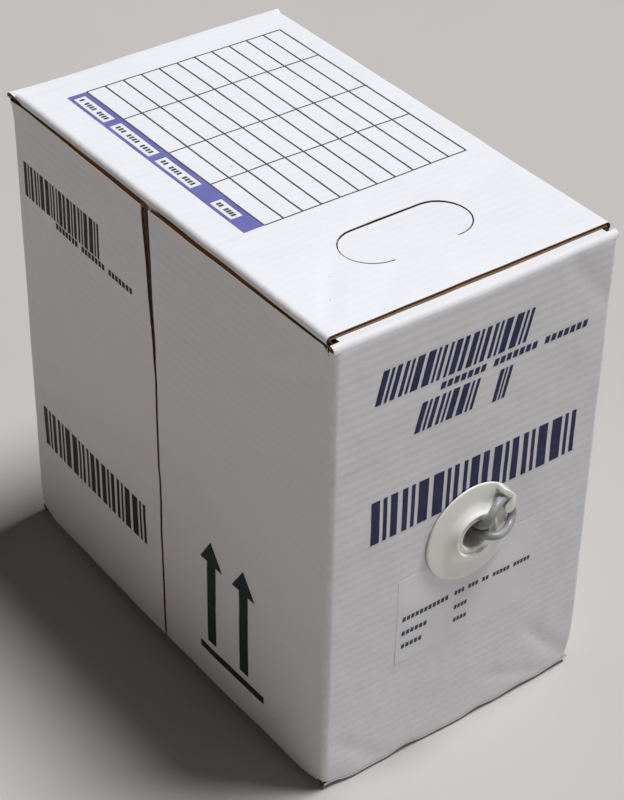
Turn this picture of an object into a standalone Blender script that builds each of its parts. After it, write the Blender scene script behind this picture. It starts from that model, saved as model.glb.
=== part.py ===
"""Cable spool box: a folded corrugated carton that holds a reel of network cable.

Metres, +Z up. The origin is the middle of the carton's underside. The payout port
faces -Y, the carton's sleeve runs along X, and its flapped ends face -X and +X.
"""
import bpy
import bmesh
import math
from mathutils import Vector

MM = 0.001

# ---- driving dimensions -------------------------------------------------------
WIDTH = 215 * MM            # X, along the sleeve
DEPTH = 357 * MM            # Y, from the port face to the rear
HEIGHT = 357 * MM           # Z
BOARD = 3 * MM              # corrugated board
FOLD = 4 * MM               # outer radius of a folded corner
FOLD_TAIL = 0.5 * MM        # straight run that ends a fold
GAP = 0.3 * MM              # clearance between touching pieces
SLACK = 0.6 * MM            # clearance beside a flap's fold

TOP_EDGE_SETBACK = 8.3 * MM     # raw front edge of the top panel, behind the port face
GLUE_TAB_LENGTH = 36 * MM
FLAP_INSET = 5 * MM             # outer flaps stop this far from top and bottom
FLAP_CORNER_CUT = 5 * MM        # upper corner of a front flap, clear of the port fold
SEAM_Y = 4 * MM                 # where the two outer flaps of an end meet
SEAM_GAP = 2.4 * MM
SEAM_WEDGE = 8.4 * MM           # how far the seam opens at its upper end
SEAM_WEDGE_TOP_Y = 12.5 * MM    # the seam's centre at its upper end
SEAM_WEDGE_START = 228 * MM     # height where the wedge begins

HANDLE_CENTRE = (-2 * MM, -108.5 * MM)
HANDLE_SIZE = (94 * MM, 42 * MM)
HANDLE_CUT = 0.6 * MM

PORT = (4 * MM, 169.5 * MM)      # centre of the payout port on the front panel (x, z)
PORT_BARREL_R = 14 * MM
PORT_SEGMENTS = 48
# sectors of the port's rim: inner radius, outer radius, first and last angle in degrees
WINDOW = (26.2 * MM, 34.4 * MM, -8, 45)
FINGER_ROOT = (32.2 * MM, 35.4 * MM, 49, 57)
FINGER_PAD = (25.0 * MM, 12.4 * MM)     # centre of the finger's round end
FINGER_PAD_R = 4.3 * MM
FINGER_UNDER = 7.5 * MM                 # the finger's faces, above the front panel
FINGER_OVER = 8.8 * MM

LABEL_X = (-53 * MM, 60 * MM)
LABEL_Z = (85 * MM, 154.5 * MM)
LABEL_THICK = 0.2 * MM

SPOOL_Z = 178.5 * MM
SPOOL_FLANGE_R = 165 * MM
SPOOL_FLANGE_THICK = 4 * MM
CORE_R = 42 * MM
CORE_WALL = 3 * MM
WINDING_R = 140 * MM
AXLE_R = 20 * MM
AXLE_WALL = 3 * MM
PAD_THICK = 6 * MM
COLLAR_THICK = 1.5 * MM
BUSH_RIM_THICK = 2 * MM
BUSH_BARREL_R = 27 * MM
CABLE_D = 5.6 * MM

# ---- places along X, from the outside in, for one end -------------------------
FLAP_OUT = WIDTH / 2
INNER_FLAP_OUT = FLAP_OUT - BOARD - GAP
PAD_OUT = INNER_FLAP_OUT - BOARD - GAP
PAD_IN = PAD_OUT - PAD_THICK
COLLAR_OUT = PAD_IN - GAP
BUSH_OUT = COLLAR_OUT - COLLAR_THICK - GAP
SPOOL_FLANGE_OUT = BUSH_OUT - BUSH_RIM_THICK - GAP
SPOOL_FLANGE_IN = SPOOL_FLANGE_OUT - SPOOL_FLANGE_THICK
WINDING_HALF = SPOOL_FLANGE_IN - GAP

FRONT_Y = -DEPTH / 2
REAR_Y = DEPTH / 2
UNDER_TOP = HEIGHT - BOARD - GAP    # outer face of the glue tab, under the top panel

# ---- the cable's free stretch -------------------------------------------------
# It leaves the winding, drops to the port and comes out, loops through the lock
# and goes back in. Points are (across, up, out) from the port's centre, in
# millimetres; out is measured forward from the carton's front face.
LEAD_ROUTE_MM = [
    (-14, 92, -61), (-12, 82, -52.5), (-10, 69, -44), (-8, 54, -37.2),
    (-5, 38, -33.2), (-1.5, 23, -31.2), (1.2, 11.4, -26.5), (2.8, 5.4, -18),
    (3.3, 4.3, -8), (3.3, 4.9, -1), (3.3, 5.7, 4.2), (3.5, 7.6, 8.2),
    (4.1, 11.4, 11.0), (6.2, 16.4, 11.9), (10.4, 20.2, 10.6), (15.4, 21.4, 8.4),
    (20.2, 20.2, 6.2), (24.0, 17.6, 4.2), (27.4, 13.4, 3.8), (29.7, 8.6, 3.9),
    (30.7, 3.6, 4.5), (29.2, -0.2, 5.9), (26.0, -2.4, 7.9), (21.6, -3.2, 9.9),
    (16.8, -3.1, 11.4), (12.2, -2.9, 11.4), (8.3, -2.9, 8.9), (5.9, -3.3, 4.0),
    (5.0, -3.9, -3), (4.5, -4.5, -10), (4.7, -5.6, -17.5), (6.8, -11, -25),
    (9.2, -20, -29), (10, -31, -30),
]
LEAD_STEP = 5 * MM

# ---- rotations ----------------------------------------------------------------
ALONG_X = (0, math.pi / 2, 0)               # local Z to +X
UPRIGHT_YZ = (math.pi / 2, 0, math.pi / 2)  # local XY plane to the YZ plane
FORWARD = (math.pi / 2, 0, 0)               # local Z to -Y


# ---- housekeeping -------------------------------------------------------------
def clear_file():
    for obj in list(bpy.data.objects):
        bpy.data.objects.remove(obj)


def new_collection(name):
    collection = bpy.data.collections.new(name)
    bpy.context.scene.collection.children.link(collection)
    return collection


def add_object(name, data, material, location=(0, 0, 0), rotation=(0, 0, 0)):
    obj = bpy.data.objects.new(name, data)
    PARTS.objects.link(obj)
    obj.location = location
    obj.rotation_euler = rotation
    if material is not None:
        data.materials.append(material)
    return obj


def principled(name, colour, roughness, metallic=0.0):
    material = bpy.data.materials.new(name)
    material.use_nodes = True
    shader = material.node_tree.nodes["Principled BSDF"]
    shader.inputs["Base Color"].default_value = (*colour, 1.0)
    shader.inputs["Roughness"].default_value = roughness
    shader.inputs["Metallic"].default_value = metallic
    material.diffuse_color = (*colour, 1.0)
    return material


def make_cutter(obj):
    PARTS.objects.unlink(obj)
    CUTTERS.objects.link(obj)
    obj.hide_render = True
    obj.display_type = "WIRE"
    return obj


def boolean(obj, tool, operation):
    modifier = obj.modifiers.new(operation.title(), "BOOLEAN")
    modifier.operation = operation
    modifier.solver = "EXACT"
    modifier.object = tool


# ---- shapes -------------------------------------------------------------------
def arc(centre, radius, start_deg, end_deg, steps):
    """Points of an arc in a plane, both ends included."""
    points = []
    for i in range(steps + 1):
        angle = math.radians(start_deg + (end_deg - start_deg) * i / steps)
        points.append((centre[0] + radius * math.cos(angle),
                       centre[1] + radius * math.sin(angle)))
    return points


def sleeve_panel(name, outline, material, half_width=WIDTH / 2):
    """A board whose outer face follows a line in the YZ plane, drawn so that the
    inside of the carton lies on the line's left."""
    mesh = bpy.data.meshes.new(name)
    bm = bmesh.new()
    rows = [[bm.verts.new((x, y, z)) for y, z in outline]
            for x in (-half_width, half_width)]
    for i in range(len(outline) - 1):
        bm.faces.new((rows[0][i], rows[0][i + 1], rows[1][i + 1], rows[1][i]))
    bm.to_mesh(mesh)
    bm.free()
    obj = add_object(name, mesh, material)
    solidify = obj.modifiers.new("Board", "SOLIDIFY")
    solidify.thickness = BOARD
    solidify.offset = -1
    solidify.use_even_offset = True
    return obj


def flat_board(name, outline, thickness, material, location, rotation):
    """A flat board cut to an outline, centred on its local XY plane."""
    curve = bpy.data.curves.new(name, "CURVE")
    curve.dimensions = "2D"
    curve.fill_mode = "BOTH"
    curve.extrude = thickness / 2
    spline = curve.splines.new("POLY")
    spline.points.add(len(outline) - 1)
    for point, (u, v) in zip(spline.points, outline):
        point.co = (u, v, 0, 1)
    spline.use_cyclic_u = True
    return add_object(name, curve, material, location, rotation)


def as_mesh(obj):
    """The same piece as a mesh with welded caps, so that it can be cut."""
    bpy.context.view_layer.update()
    graph = bpy.context.evaluated_depsgraph_get()
    mesh = bpy.data.meshes.new_from_object(obj.evaluated_get(graph))
    bm = bmesh.new()
    bm.from_mesh(mesh)
    bmesh.ops.remove_doubles(bm, verts=bm.verts, dist=1e-6)
    bm.to_mesh(mesh)
    bm.free()
    name, matrix = obj.name, obj.matrix_world.copy()
    bpy.data.objects.remove(obj)
    solid = add_object(name, mesh, None)
    solid.name = name
    solid.matrix_world = matrix
    return solid


def turned(name, profile, segments, material, location, rotation):
    """A turned piece about its local Z axis. The closed profile of (radius, along)
    runs down the outer side and back up the inner side."""
    mesh = bpy.data.meshes.new(name)
    bm = bmesh.new()
    verts = [bm.verts.new((radius, 0, along)) for radius, along in profile]
    for i, vert in enumerate(verts):
        bm.edges.new((vert, verts[(i + 1) % len(verts)]))
    bm.to_mesh(mesh)
    bm.free()
    obj = add_object(name, mesh, material, location, rotation)
    screw = obj.modifiers.new("Turn", "SCREW")
    screw.steps = segments
    screw.render_steps = segments
    screw.use_merge_vertices = True
    screw.merge_threshold = 1e-5
    return obj


def ring_profile(outer, inner, low, high, chamfer=0.0):
    """A ring's section; a chamfer takes off its two outer edges."""
    bore = [(inner, low), (inner, high)]
    if not chamfer:
        return [(outer, high), (outer, low)] + bore
    return [(outer - chamfer, high), (outer, high - chamfer), (outer, low + chamfer),
            (outer - chamfer, low)] + bore


def cylinder_cutter(name, radius, length, location, rotation):
    mesh = bpy.data.meshes.new(name)
    bm = bmesh.new()
    bmesh.ops.create_cone(bm, cap_ends=True, segments=48, radius1=radius,
                          radius2=radius, depth=length)
    bm.to_mesh(mesh)
    bm.free()
    return make_cutter(add_object(name, mesh, None, location, rotation))


def smooth_route(points, step):
    """Points about one step apart on a Catmull-Rom curve through a route."""
    route = [Vector(p) for p in points]
    route = [2 * route[0] - route[1]] + route + [2 * route[-1] - route[-2]]
    result = []
    for a, b, c, d in zip(route, route[1:], route[2:], route[3:]):
        count = max(1, round((c - b).length / step))
        for i in range(count):
            t = i / count
            result.append(0.5 * (2 * b + (c - a) * t
                                 + (2 * a - 5 * b + 4 * c - d) * t ** 2
                                 + (3 * b - a - 3 * c + d) * t ** 3))
    return result + [route[-2]]


# ---- the carton ---------------------------------------------------------------

def build_sleeve(board):
    """Front, bottom, rear and top panels with their rounded folds, and the tab that
    joins the front panel under the top one."""
    fold_steps = 5          # facets of a rounded fold
    front_foot = (FRONT_Y + FOLD, FOLD)
    rear_foot = (REAR_Y - FOLD, FOLD)
    rear_head = (REAR_Y - FOLD, HEIGHT - FOLD)
    front_head = (FRONT_Y + FOLD, UNDER_TOP - FOLD)
    flat_low = FOLD + FOLD_TAIL + GAP

    sleeve_panel("bottom_panel", [(FRONT_Y, FOLD + FOLD_TAIL)]
                 + arc(front_foot, FOLD, 180, 270, fold_steps)
                 + arc(rear_foot, FOLD, -90, 0, fold_steps)
                 + [(REAR_Y, FOLD + FOLD_TAIL)], board)
    sleeve_panel("rear_panel", [(REAR_Y, flat_low), (REAR_Y, HEIGHT - flat_low)], board)
    top = sleeve_panel("top_panel", [(REAR_Y, HEIGHT - FOLD - FOLD_TAIL)]
                       + arc(rear_head, FOLD, 0, 90, fold_steps)
                       + [(FRONT_Y + TOP_EDGE_SETBACK, HEIGHT)], board)
    front = sleeve_panel("front_panel", [(FRONT_Y + FOLD + FOLD_TAIL, UNDER_TOP)]
                         + arc(front_head, FOLD, 90, 180, fold_steps)
                         + [(FRONT_Y, flat_low)], board)
    tab_start = FRONT_Y + flat_low
    sleeve_panel("glue_tab", [(tab_start + GLUE_TAB_LENGTH, UNDER_TOP),
                              (tab_start, UNDER_TOP)], board, PAD_OUT - GAP)

    hole = cylinder_cutter("port_hole", PORT_BARREL_R + 2 * GAP, 6 * BOARD,
                           (PORT[0], FRONT_Y, PORT[1]), FORWARD)
    boolean(front, hole, "DIFFERENCE")
    grip = as_mesh(flat_board("handle_hole", handle_outline(0), 6 * BOARD, None,
                              (*HANDLE_CENTRE, HEIGHT), (0, 0, 0)))
    boolean(top, make_cutter(grip), "DIFFERENCE")


def handle_outline(inset):
    """The hand hold's rounded slot, about its own centre, drawn in by an inset."""
    radius = HANDLE_SIZE[1] / 2 - inset
    reach = HANDLE_SIZE[0] / 2 - HANDLE_SIZE[1] / 2
    return arc((reach, 0), radius, -90, 90, 10) + arc((-reach, 0), radius, 90, 270, 10)


def build_handle_flap(board):
    """The push-in flap that closes the hand hold, hinged on its front long side."""
    hinge_y = HANDLE_CENTRE[1] - HANDLE_SIZE[1] / 2 + HANDLE_CUT
    outline = [(x, y + HANDLE_SIZE[1] / 2 - HANDLE_CUT)
               for x, y in handle_outline(HANDLE_CUT)]
    hinge = bpy.data.objects.new("handle_hinge", None)
    PARTS.objects.link(hinge)
    hinge.location = (HANDLE_CENTRE[0], hinge_y, HEIGHT - BOARD)
    flap = flat_board("handle_flap", outline, BOARD, board, (0, 0, BOARD / 2), (0, 0, 0))
    flap.parent = hinge


def build_outer_flaps(side, name, board):
    """The two tall flaps of one end, hinged on the carton's upright edges. Their
    free edges meet at a seam that opens into a wedge near the top."""
    x = side * FLAP_OUT
    low, high = FLAP_INSET, HEIGHT - FLAP_INSET
    start = BOARD + SLACK
    for which, hinge_y, way in (("front", FRONT_Y, 1), ("rear", REAR_Y, -1)):
        seam = [(SEAM_Y - way * SEAM_GAP / 2, low),
                (SEAM_Y - way * SEAM_GAP / 2, SEAM_WEDGE_START),
                (SEAM_WEDGE_TOP_Y - way * SEAM_WEDGE / 2, high)]
        outline = [(way * start, low)] + [(y - hinge_y, z) for y, z in seam]
        cut = FLAP_CORNER_CUT if which == "front" else 0
        outline.append((way * (start + cut), high))
        if cut:
            outline.append((way * start, high - cut))
        hinge = bpy.data.objects.new(f"{name}_{which}_hinge", None)
        PARTS.objects.link(hinge)
        hinge.location = (x, hinge_y, 0)
        flap = flat_board(f"{name}_{which}_flap", outline, BOARD, board,
                          (-side * BOARD / 2, 0, 0), UPRIGHT_YZ)
        flap.parent = hinge


def build_inner_flaps(side, name, board):
    """The two flaps folded in from the top and bottom panels, under the outer ones."""
    x = side * (INNER_FLAP_OUT - BOARD / 2)
    half = DEPTH / 2 - FOLD - FOLD_TAIL - SLACK
    middle = HEIGHT / 2
    spans = {"bottom": (BOARD + SLACK, middle - SLACK),
             "top": (middle + SLACK, HEIGHT - BOARD - SLACK)}
    for which, (low, high) in spans.items():
        outline = [(-half, low), (half, low), (half, high), (-half, high)]
        flat_board(f"{name}_{which}_flap", outline, BOARD, board, (x, 0, 0), UPRIGHT_YZ)


def build_label(paper):
    outline = [(LABEL_X[0], LABEL_Z[0]), (LABEL_X[1], LABEL_Z[0]),
               (LABEL_X[1], LABEL_Z[1]), (LABEL_X[0], LABEL_Z[1])]
    y = FRONT_Y - GAP - LABEL_THICK / 2
    flat_board("spec_label", outline, LABEL_THICK, paper, (0, y, 0), FORWARD)


# ---- the payout port ----------------------------------------------------------
def build_port(plastic, ring_plastic):
    """A moulded trumpet with a wide rim, held from inside by a collar. A finger on
    the rim holds the cable's loop down in a window."""
    mouth = [(14.4, 5.4), (15.0, 7.0), (15.8, 7.4), (16.6, 7.0), (18.2, 5.2),
             (20.8, 3.7), (24.4, 2.8), (34.6, 2.2), (35.6, 1.9), (36.0, 1.4),
             (36.0, 0.8)]
    barrel = [(14.0, 0.8), (14.0, -15.0), (13.2, -16.0), (11.6, -16.0)]
    bore = [(10.2, -14.8), (10.2, 3.0), (10.6, 5.4), (11.2, 6.2), (12.0, 6.0),
            (12.8, 5.4)]
    profile = [(r * MM, out * MM) for r, out in mouth + barrel + bore]
    location = (PORT[0], FRONT_Y, PORT[1])
    port = turned("payout_port", profile, PORT_SEGMENTS, plastic, location, FORWARD)
    boolean(port, rim_piece("rim_window", sector(*WINDOW), -6 * MM, 6 * MM),
            "DIFFERENCE")
    boolean(port, rim_piece("finger", finger_outline(), FINGER_UNDER, FINGER_OVER),
            "UNION")
    boolean(port, rim_piece("finger_root", sector(*FINGER_ROOT), 1.2 * MM,
                            FINGER_OVER - 0.2 * MM), "UNION")

    ring = [(24.0, -3.8), (24.0, -7.0), (23.0, -8.0), (16.5, -8.0), (15.8, -12.0),
            (14.6, -12.0), (14.6, -3.3), (23.5, -3.3)]
    turned("port_lock_ring", [(r * MM, out * MM) for r, out in ring], PORT_SEGMENTS,
           ring_plastic, location, FORWARD)


def sector(inner, outer, start_deg, end_deg, steps=8):
    return (arc((0, 0), outer, start_deg, end_deg, steps)
            + arc((0, 0), inner, end_deg, start_deg, steps))


def finger_outline():
    """A finger that follows the rim from its root and ends in a round pad."""
    inner, outer = FINGER_ROOT[:2]
    root_deg = FINGER_ROOT[3]
    return (arc(FINGER_PAD, FINGER_PAD_R, -10, -215, 10)
            + arc((0, 0), inner, 38, root_deg, 4)
            + arc((0, 0), outer, root_deg, 34, 5))


def rim_piece(name, outline, low, high):
    """A flat shape round the port's axis, from low to high above the front panel."""
    y = FRONT_Y - (low + high) / 2
    return make_cutter(as_mesh(flat_board(name, outline, high - low, None,
                                          (PORT[0], y, PORT[1]), FORWARD)))


# ---- the spool and what carries it --------------------------------------------
def build_axle(paper_tube, board, plastic):
    location = (0, 0, SPOOL_Z)
    half = PAD_OUT - GAP
    turned("axle_tube", ring_profile(AXLE_R, AXLE_R - AXLE_WALL, -half, half), 48,
           paper_tube, location, ALONG_X)
    pad_low, pad_high = BOARD + GAP, UNDER_TOP - BOARD - GAP
    half_depth = DEPTH / 2 - BOARD - SLACK
    for side, name in ((-1, "left"), (1, "right")):
        x = side * (PAD_OUT - PAD_THICK / 2)
        outline = [(-half_depth, pad_low), (half_depth, pad_low),
                   (half_depth, pad_high), (-half_depth, pad_high)]
        pad = flat_board(f"axle_pad_{name}", outline, PAD_THICK, board, (x, 0, 0),
                         UPRIGHT_YZ)
        pad = as_mesh(pad)
        hole = cylinder_cutter(f"axle_hole_{name}", AXLE_R + GAP, 3 * PAD_THICK,
                               (x, 0, SPOOL_Z), ALONG_X)
        boolean(pad, hole, "DIFFERENCE")
        collar = ring_profile(AXLE_R + 6 * MM, AXLE_R + GAP, -COLLAR_THICK / 2,
                              COLLAR_THICK / 2, 0.4 * MM)
        turned(f"axle_collar_{name}", collar, 48, plastic,
               (side * (COLLAR_OUT - COLLAR_THICK / 2), 0, SPOOL_Z), ALONG_X)


def build_spool(chipboard, paper_tube, plastic, cable):
    """Everything here turns on the axle tube, so each piece has its origin on it."""
    location = (0, 0, SPOOL_Z)
    turned("spool_core", ring_profile(CORE_R, CORE_R - CORE_WALL, -WINDING_HALF,
                                      WINDING_HALF), 64, paper_tube, location, ALONG_X)
    turned("cable_winding", ring_profile(WINDING_R, CORE_R + GAP, -WINDING_HALF,
                                         WINDING_HALF, 2 * MM), 96, cable, location,
           ALONG_X)
    for side, name in ((-1, "left"), (1, "right")):
        flange_middle = side * (SPOOL_FLANGE_IN + SPOOL_FLANGE_THICK / 2)
        half = SPOOL_FLANGE_THICK / 2
        flange = ring_profile(SPOOL_FLANGE_R, BUSH_BARREL_R + GAP, -half, half, 0.8 * MM)
        turned(f"spool_flange_{name}", flange, 96, chipboard,
               (flange_middle, 0, SPOOL_Z), ALONG_X)
        bush = bush_profile()
        if side < 0:
            bush = [(radius, -along) for radius, along in reversed(bush)]
        turned(f"hub_bush_{name}", bush, 48, plastic, location, ALONG_X)


def bush_profile():
    """The right-hand bush: a rim outside the spool's flange, a barrel through it
    and a thinner sleeve that runs on the axle."""
    bore = AXLE_R + 0.4 * MM
    rim_r, sleeve_r = 34 * MM, 24 * MM
    barrel_end = SPOOL_FLANGE_IN - 1 * MM
    sleeve_end = barrel_end - 10 * MM
    return [(rim_r - 0.6 * MM, BUSH_OUT), (rim_r, BUSH_OUT - 0.6 * MM),
            (rim_r, BUSH_OUT - BUSH_RIM_THICK), (BUSH_BARREL_R, BUSH_OUT - BUSH_RIM_THICK),
            (BUSH_BARREL_R, barrel_end), (sleeve_r, barrel_end), (sleeve_r, sleeve_end),
            (bore, sleeve_end), (bore, BUSH_OUT)]


def build_lead(cable):
    """The stretch of cable between the winding and the end tucked into the port."""
    origin = Vector((PORT[0], FRONT_Y, PORT[1]))
    route = [origin + Vector((across, -out, up)) * MM for across, up, out in LEAD_ROUTE_MM]
    points = smooth_route(route, LEAD_STEP)
    curve = bpy.data.curves.new("cable_lead", "CURVE")
    curve.dimensions = "3D"
    curve.bevel_depth = CABLE_D / 2
    curve.bevel_resolution = 3
    curve.use_fill_caps = True
    spline = curve.splines.new("POLY")
    spline.points.add(len(points) - 1)
    for point, place in zip(spline.points, points):
        point.co = (*place, 1)
    add_object("cable_lead", curve, cable)


def main():
    white_board = principled("white_board", (0.78, 0.78, 0.80), 0.75)
    kraft_board = principled("kraft_board", (0.45, 0.31, 0.19), 0.85)
    chipboard = principled("chipboard", (0.42, 0.37, 0.31), 0.85)
    paper_tube = principled("paper_tube", (0.40, 0.30, 0.21), 0.80)
    label_paper = principled("label_paper", (0.82, 0.82, 0.84), 0.55)
    port_plastic = principled("port_plastic", (0.80, 0.80, 0.76), 0.35)
    hub_plastic = principled("hub_plastic", (0.72, 0.72, 0.70), 0.45)
    cable_jacket = principled("cable_jacket", (0.30, 0.30, 0.31), 0.45)

    build_sleeve(white_board)
    build_handle_flap(white_board)
    for side, name in ((-1, "left"), (1, "right")):
        build_outer_flaps(side, name, white_board)
        build_inner_flaps(side, name, white_board)
    build_label(label_paper)
    build_port(port_plastic, hub_plastic)
    build_axle(paper_tube, kraft_board, hub_plastic)
    build_spool(chipboard, paper_tube, hub_plastic, cable_jacket)
    build_lead(cable_jacket)
    for obj in PARTS.objects:
        if obj.type == "MESH":
            obj.data.shade_smooth()
            obj.data.set_sharp_from_angle(angle=math.radians(35))


clear_file()
PARTS = new_collection("cable_spool_box")
CUTTERS = new_collection("cutters")
main()
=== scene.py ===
"""The looks of the cable spool box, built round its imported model.

Metres, +Z up, in the model's own frame. The carton's boards are rebuilt as real
corrugated board, with two liners and a fluted middle, bowed and dented by handling.
"""

import math

import bmesh
import bpy
from mathutils import Matrix, Vector, noise


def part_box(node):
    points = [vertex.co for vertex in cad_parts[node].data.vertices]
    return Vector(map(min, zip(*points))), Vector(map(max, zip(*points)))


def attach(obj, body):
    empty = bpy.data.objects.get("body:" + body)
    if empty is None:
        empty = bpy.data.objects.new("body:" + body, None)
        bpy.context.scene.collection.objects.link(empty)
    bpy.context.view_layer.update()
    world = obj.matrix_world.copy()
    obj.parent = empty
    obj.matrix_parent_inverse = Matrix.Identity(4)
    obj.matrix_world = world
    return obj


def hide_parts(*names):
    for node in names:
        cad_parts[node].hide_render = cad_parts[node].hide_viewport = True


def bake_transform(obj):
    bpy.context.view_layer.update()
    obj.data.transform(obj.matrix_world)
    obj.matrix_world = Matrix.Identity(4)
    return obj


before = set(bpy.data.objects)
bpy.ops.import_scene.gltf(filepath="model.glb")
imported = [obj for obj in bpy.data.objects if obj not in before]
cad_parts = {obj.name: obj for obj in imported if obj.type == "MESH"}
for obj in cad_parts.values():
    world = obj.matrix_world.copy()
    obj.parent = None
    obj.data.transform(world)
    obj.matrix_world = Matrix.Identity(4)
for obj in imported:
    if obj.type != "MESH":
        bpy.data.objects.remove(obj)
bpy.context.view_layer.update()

MM = 0.001

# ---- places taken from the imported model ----
FRONT_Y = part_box("front_panel")[0].y
REAR_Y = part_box("rear_panel")[1].y
HALF_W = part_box("front_panel")[1].x
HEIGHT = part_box("top_panel")[1].z
DEPTH = REAR_Y - FRONT_Y
WIDTH = 2 * HALF_W
PORT_X = (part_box("payout_port")[0].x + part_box("payout_port")[1].x) / 2
PORT_Z = (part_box("payout_port")[0].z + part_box("payout_port")[1].z) / 2
FLAP_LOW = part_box("left_front_flap")[0].z
FLAP_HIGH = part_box("left_front_flap")[1].z
INNER_FLAP_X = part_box("right_top_flap")[1].x
UNDER_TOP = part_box("front_panel")[1].z
TOP_EDGE_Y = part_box("top_panel")[0].y
SPOOL_Z = (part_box("cable_winding")[0].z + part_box("cable_winding")[1].z) / 2
WINDING_R = (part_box("cable_winding")[1].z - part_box("cable_winding")[0].z) / 2
WINDING_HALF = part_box("cable_winding")[1].x

# ---- the board ----
BOARD = 3 * MM
LINER = 0.35 * MM
MEDIUM = 0.24 * MM
FLUTE = 6.5 * MM
FOLD = 4 * MM
STEP = 3.6 * MM                 # mesh spacing on the boards
COARSE_STEP = 5 * MM            # the same on boards with less shape
MEDIUM_STEP = 14 * MM           # the same on the fluted middle, along its flutes
INK_GAP = 0.10 * MM
INK_THICK = 0.04 * MM
INK_STEP = 4 * MM
SIDE_BULGE = 3.0 * MM

# ---- the camera ----
CAMERA_AZIMUTH = math.radians(-37.037)
CAMERA_ELEVATION = math.radians(36.505)
CAMERA_ROLL = math.radians(1.0897)
CAMERA_DISTANCE = 1.48515
CAMERA_OFFSET = (-9.383 * MM, 10.759 * MM)
CAMERA_LENS = 98.4              # in millimetres, on a sensor 36 mm wide
CAMERA_SENSOR = 36

# ---- the cable ----
CABLE_D = 5.6 * MM
# (across, up, out) from the port's centre, in millimetres
LEAD_ROUTE_MM = [
    (-14, 92, -61), (-12, 82, -52.5), (-10, 69, -44), (-8, 54, -37.2),
    (-5, 38, -33.2), (-1.5, 23, -31.2), (1.2, 11.4, -26.5), (2.8, 5.4, -18),
    (3.3, 4.3, -8), (3.3, 4.9, -1), (3.3, 5.7, 4.2), (3.5, 7.6, 8.2),
    (4.1, 11.4, 11.0), (6.2, 16.4, 11.9), (10.4, 20.2, 10.6), (15.4, 21.4, 8.4),
    (20.2, 20.2, 6.2), (24.0, 17.6, 4.2), (27.4, 13.4, 3.8), (29.7, 8.6, 3.9),
    (30.7, 3.6, 4.5), (29.2, -0.2, 5.9), (26.0, -2.4, 7.9), (21.6, -3.2, 9.9),
    (16.8, -3.1, 11.4), (12.2, -2.9, 11.4), (8.3, -2.9, 8.9), (5.9, -3.3, 4.0),
    (5.0, -3.9, -3), (4.5, -4.5, -10), (4.7, -5.6, -17.5), (6.8, -11, -25),
    (9.2, -20, -29), (10, -31, -30),
]


# ---- materials ----
class Shader:
    """A node material, with short calls for the nodes that the pieces share."""

    def __init__(self, name, roughness, specular=0.5):
        self.material = bpy.data.materials.new(name)
        self.material.use_nodes = True
        self.tree = self.material.node_tree
        self.out = self.tree.nodes["Principled BSDF"]
        self.out.inputs["Roughness"].default_value = roughness
        self.out.inputs["Specular IOR Level"].default_value = specular
        self.place = self.node("ShaderNodeTexCoord").outputs["Object"]

    def node(self, kind, **settings):
        node = self.tree.nodes.new(kind)
        for key, value in settings.items():
            setattr(node, key, value)
        return node

    def put(self, socket, value):
        if isinstance(value, bpy.types.NodeSocket):
            self.tree.links.new(value, socket)
        else:
            socket.default_value = value

    def maths(self, operation, *values, clamp=False):
        node = self.node("ShaderNodeMath", operation=operation, use_clamp=clamp)
        for socket, value in zip(node.inputs, values):
            self.put(socket, value)
        return node.outputs[0]

    def axis(self, letter):
        node = self.node("ShaderNodeSeparateXYZ")
        self.put(node.inputs[0], self.place)
        return node.outputs[letter]

    def stretched(self, scale):
        node = self.node("ShaderNodeMapping")
        self.put(node.inputs["Vector"], self.place)
        node.inputs["Scale"].default_value = scale
        return node.outputs[0]

    def noise(self, scale, detail=3.0, rough=0.55, vector=None):
        node = self.node("ShaderNodeTexNoise")
        self.put(node.inputs["Vector"], vector or self.place)
        node.inputs["Scale"].default_value = scale
        node.inputs["Detail"].default_value = detail
        node.inputs["Roughness"].default_value = rough
        return node.outputs["Fac"]

    def ramp(self, value, low, high, from_value=0.0, to_value=1.0):
        """A value spread from low..high over from_value..to_value, and held there."""
        node = self.node("ShaderNodeMapRange")
        self.put(node.inputs["Value"], value)
        for key, number in (("From Min", low), ("From Max", high),
                            ("To Min", from_value), ("To Max", to_value)):
            node.inputs[key].default_value = number
        return node.outputs[0]

    def mix(self, factor, one, two):
        node = self.node("ShaderNodeMix", data_type="RGBA")
        for key, value in (("Factor_Float", factor), ("A_Color", one), ("B_Color", two)):
            socket = next(s for s in node.inputs if s.identifier == key)
            if isinstance(value, tuple) and len(value) == 3:
                value = (*value, 1.0)
            self.put(socket, value)
        return next(s for s in node.outputs if s.identifier == "Result_Color")

    def wave(self, axis, pitch):
        """A sine along one axis, from -1 to 1."""
        return self.maths("SINE", self.maths("MULTIPLY", self.axis(axis), math.tau / pitch))

    def colour(self, value):
        self.put(self.out.inputs["Base Color"], value)

    def rough(self, value):
        self.put(self.out.inputs["Roughness"], value)

    def bump(self, *layers):
        """Bump from pairs of height value and depth in metres."""
        normal = None
        for height, depth in layers:
            node = self.node("ShaderNodeBump")
            node.inputs["Strength"].default_value = 1.0
            node.inputs["Distance"].default_value = depth
            self.put(node.inputs["Height"], height)
            if normal is not None:
                self.put(node.inputs["Normal"], normal)
            normal = node.outputs[0]
        self.put(self.out.inputs["Normal"], normal)


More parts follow.
